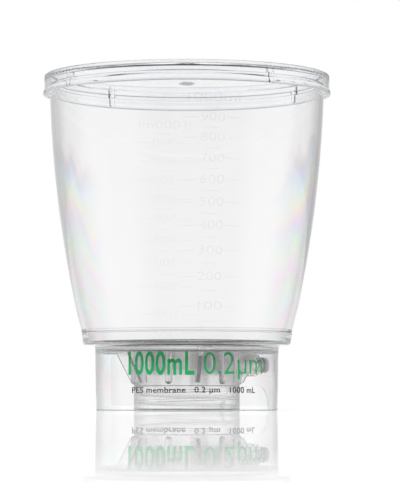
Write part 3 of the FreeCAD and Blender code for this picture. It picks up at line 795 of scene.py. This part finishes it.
figures = []
for name, words, weight, azimuth in (
    ("capacity_figure", "1000mL", 0.34, -17.8),
    ("pore_figure", "0.2µm", -0.12, 32.3),
):
    figure = lettering(name, words, FIGURE_HEIGHT, FIGURE_WIDTH, weight, PRINT_THICKNESS)
    figures.append(wrap(figure, FIGURE_RADIUS, FIGURE_CENTRE, WALL_LEAN, azimuth))
large = merge_pieces(figures)
large.name = "printed_figures"
small = wrap(
    lettering("printed_data", "PES membrane   0.2 µm   1000 mL", DATA_HEIGHT, DATA_WIDTH, 0.05, PRINT_THICKNESS),
    DATA_RADIUS, DATA_CENTRE, WALL_LEAN, 5.6)
for words, colour in (
    (large, ink("green_ink", (0.05, 0.67, 0.29), (0.11, 0.92, 0.44), 0.50)),
    (small, ink("dark_ink", (0.03, 0.025, 0.06), (0.16, 0.12, 0.22), 0.70)),
):
    words.data.materials.clear()
    words.data.materials.append(colour)
    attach(words, "unit")


# ---- bottle seal -----------------------------------------------------------------------------
# The soft ring on the end of the spigot, which seals in the mouth of the bottle.
# Pale translucent elastomer, pushed over the spigot.

SEAL_BORE, SEAL_RADIUS = 16.33, 17.5
SEAL_BOTTOM, SEAL_TOP = 18.9, 26.9

seal = turn_outline("bottle_seal", rounded([
    (SEAL_BORE, SEAL_BOTTOM, 0.1),
    (SEAL_RADIUS, SEAL_BOTTOM, 0.4),
    (SEAL_RADIUS, SEAL_TOP, 0.4),
    (SEAL_BORE, SEAL_TOP, 0.1),
]))
cut_solid(seal, lay_along_port(turn_outline("tube_hole", [(0, 13.3), (3.0, 13.3), (3.0, 18.5), (0, 18.5)], 32)))
smooth(seal)
rubber = Shader(bpy.data.materials.new("pale_elastomer"))
place = rubber.node("ShaderNodeTexCoord", {}, {}, "Object")
mottle = rubber.node("ShaderNodeTexNoise", {}, {"Vector": place, "Scale": 700.0, "Detail": 3.0})
shade = 0.95 + 0.04 * mottle
rubber.node("ShaderNodeOutputMaterial", {}, {"Surface": rubber.node("ShaderNodeBsdfPrincipled", {}, {
    "Base Color": rubber.colour(shade, shade, 0.98 * shade),
    "Roughness": 0.10 + 0.06 * mottle,
    "Transmission Weight": 0.95,
    "IOR": 1.41,
})})
seal.data.materials.append(rubber.owner)
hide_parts("neck_seal")
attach(seal, "unit")


# ---- hose connector --------------------------------------------------------------------------
# The vacuum connector with two barbs, pushed into the boss up to its collar.
# Natural polypropylene, turned smooth; where it stands clear of the boss it is milky, with a grey tone there as
# painted shade.

BARB_BORE, BARB_NECK, BARB_RADIUS = 2.0, 2.9, 3.7
BARB_COLLAR, BARB_PLUG = 4.6, 3.25             # radii of the collar and of the end in the boss
BARB_TIP = 54.0                                # distances below are from the unit's axis

barb = lay_along_port(turn_outline("hose_connector", rounded([
    (BARB_BORE, 33.5, 0.1),
    (BARB_BORE, BARB_TIP, 0.15),
    (3.2, BARB_TIP, 0.4),
    (BARB_RADIUS, 53.0, 0.5),
    (BARB_RADIUS, 49.55, 0.1),
    (BARB_NECK, 49.55, 0.1),
    (BARB_RADIUS, 46.3, 0.15),
    (BARB_RADIUS, 45.8, 0.1),
    (BARB_NECK, 45.8, 0.1),
    (BARB_NECK, 45.3, 0.1),
    (BARB_COLLAR, 45.3, 0.2),
    (BARB_COLLAR, 43.92, 0.2),
    (BARB_PLUG, 43.92, 0.1),
    (BARB_PLUG, 34.0, 0.1),
    (2.75, 33.5, 0.1),
]), 96))
smooth(barb)
milky = Shader(bpy.data.materials.new("natural_polypropylene"))
place = milky.node("ShaderNodeTexCoord", {}, {}, "Object")
x, y, z = milky.split(place)
outward = x * math.sin(math.radians(PORT_AZIMUTH)) - y * math.cos(math.radians(PORT_AZIMUTH))
swirl = milky.node("ShaderNodeTexNoise", {}, {"Vector": place, "Scale": 400.0, "Detail": 3.0})
# the end outside the boss: milky polypropylene, made grey as painted shade
clear_shade, milky_shaded_tone = 0.96 + 0.02 * swirl, 0.66 + 0.06 * swirl
clear_end = milky.node("ShaderNodeBsdfPrincipled", {}, {
    "Base Color": milky.colour(clear_shade, clear_shade, clear_shade),
    "Roughness": 0.06 + 0.05 * swirl,
    "Transmission Weight": 1.0,
    "IOR": 1.49,
})
milky_shaded_end = milky.node("ShaderNodeBsdfPrincipled", {}, {
    "Base Color": milky.colour(milky_shaded_tone, milky_shaded_tone, 0.01 + milky_shaded_tone),
    "Roughness": 0.35 + 0.15 * swirl,
    "Transmission Weight": 0.15,
    "IOR": 1.49,
})
milky.node("ShaderNodeOutputMaterial", {}, {"Surface": milky.node("ShaderNodeMixShader", {}, {
    0: outward.rise(0.0488, 0.0494), 1: clear_end, 2: milky_shaded_end})})
barb.data.materials.append(milky.owner)
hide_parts("hose_barb")
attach(barb, "unit")


# ---- port plug -------------------------------------------------------------------------------
# The porous plug in the connector, which keeps liquid out of the vacuum line.
# Sintered plastic with the grain of its beads, coloured grey as painted shade.

PLUG_RADIUS = 1.95
PLUG_START, PLUG_END = 47.0, 53.0

plug = lay_along_port(turn_outline("porous_plug", rounded([
    (0, PLUG_START),
    (PLUG_RADIUS, PLUG_START, 0.2),
    (PLUG_RADIUS, PLUG_END, 0.2),
    (0, PLUG_END),
]), 64))
smooth(plug)
sinter = Shader(bpy.data.materials.new("sintered_plastic"))
place = sinter.node("ShaderNodeTexCoord", {}, {}, "Object")
beads = sinter.node("ShaderNodeTexVoronoi", {}, {"Vector": place, "Scale": 4000.0})
# the grey colour is painted shade for a white plug in the connector's shadow; the bead grain is its own
shade = 0.55 + 0.2 * beads
relief = sinter.node("ShaderNodeBump", {"invert": True}, {"Height": beads, "Strength": 0.5, "Distance": 0.0001})
sinter.node("ShaderNodeOutputMaterial", {}, {"Surface": sinter.node("ShaderNodeBsdfPrincipled", {}, {
    "Base Color": sinter.colour(shade, shade, 1.02 * shade),
    "Roughness": 0.85 + 0.1 * beads,
    "Normal": relief,
})})
plug.data.materials.append(sinter.owner)
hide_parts("port_plug")
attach(plug, "unit")


# ---- lid -------------------------------------------------------------------------------------
# The loose clear lid: plate with a recessed middle, a rim above and below it, four vent ribs
# and a dull gate mark.  Clear polystyrene, injection moulded; it rests on the funnel by its ribs.

GATE_RADIUS, GATE_CURVE = 3.9, 8.105           # the dish of the gate mark, and its sphere
RECESS_RADIUS, STEP_RADIUS = 44.0, 45.8        # the sloping step round the recess
RECESS_BOTTOM, RECESS_TOP = 152.3, 153.5
PLATE = (153.1, 154.3)                         # underside and top outside the recess
LID_SKIRT = (65.4, 67.1)
LID_FOOT, LID_TOP = 146.5, 155.8
RIB_AZIMUTH, RIB_WIDTH, RIB_THICKNESS, RIB_RADIUS = 35.5, 2.6, 1.5, 65.25
RIB_FOOT = 148.4                               # centre of the round end of a leg

dish = []
for step in range(9):
    angle = math.asin(GATE_RADIUS / GATE_CURVE) * step / 8
    dish.append((GATE_CURVE * math.sin(angle), GATE_CURVE * (1 - math.cos(angle))))
lid = turn_outline("clear_lid", rounded([(across, 151.3 + up) for across, up in dish] + [
    (RECESS_RADIUS, RECESS_BOTTOM, 0.8),
    (STEP_RADIUS, PLATE[0], 0.8),
    (LID_SKIRT[0], PLATE[0], 0.4),
    (LID_SKIRT[0], LID_FOOT, 0.8),
    (LID_SKIRT[1], LID_FOOT, 0.8),
    (LID_SKIRT[1], 148.1, 0.6),
    (66.6, 148.9, 0.8),
    (66.6, LID_TOP, 0.8),
    (64.2, LID_TOP, 0.6),
    (63.7, PLATE[1], 0.8),
    (STEP_RADIUS, PLATE[1], 0.8),
    (RECESS_RADIUS, RECESS_TOP, 0.8),
] + [(across, 153.1 + 0.4 * up) for across, up in reversed(dish)], 6))
arms, legs = [], []
for turn in range(4):
    azimuth = RIB_AZIMUTH + 90 * turn
    arms.append(rib("vent_arm", [(62.8, 151.4), (66.0, 151.4), (66.0, 153.7), (62.8, 153.7)], RIB_WIDTH, azimuth))
    leg = rib(
        "vent_leg",
        [(-RIB_WIDTH / 2, 152.6)] + arc(0, RIB_FOOT, RIB_WIDTH / 2, -180, 0, 12) + [(RIB_WIDTH / 2, 152.6)],
        RIB_THICKNESS,
    )
    legs.append(set_out(leg, RIB_RADIUS, 0, azimuth))
add_solid(lid, merge_pieces(arms))
add_solid(lid, merge_pieces(legs))
smooth(lid)


def lid_finish(shader, place, x, y, z):
    """The gate mark, a little dull and dark."""
    gate = 1.0 - ((x * x + y * y) ** 0.5).rise(0.0037, 0.0041)
    return 0.10 * gate, 1.0 - 0.34 * gate


lid.data.materials.append(clear_plastic(
    "lid_polystyrene", (0.956, 0.963, 0.980), 0.012, 0.08, finish=lid_finish))
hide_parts("lid")
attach(lid, "cover")
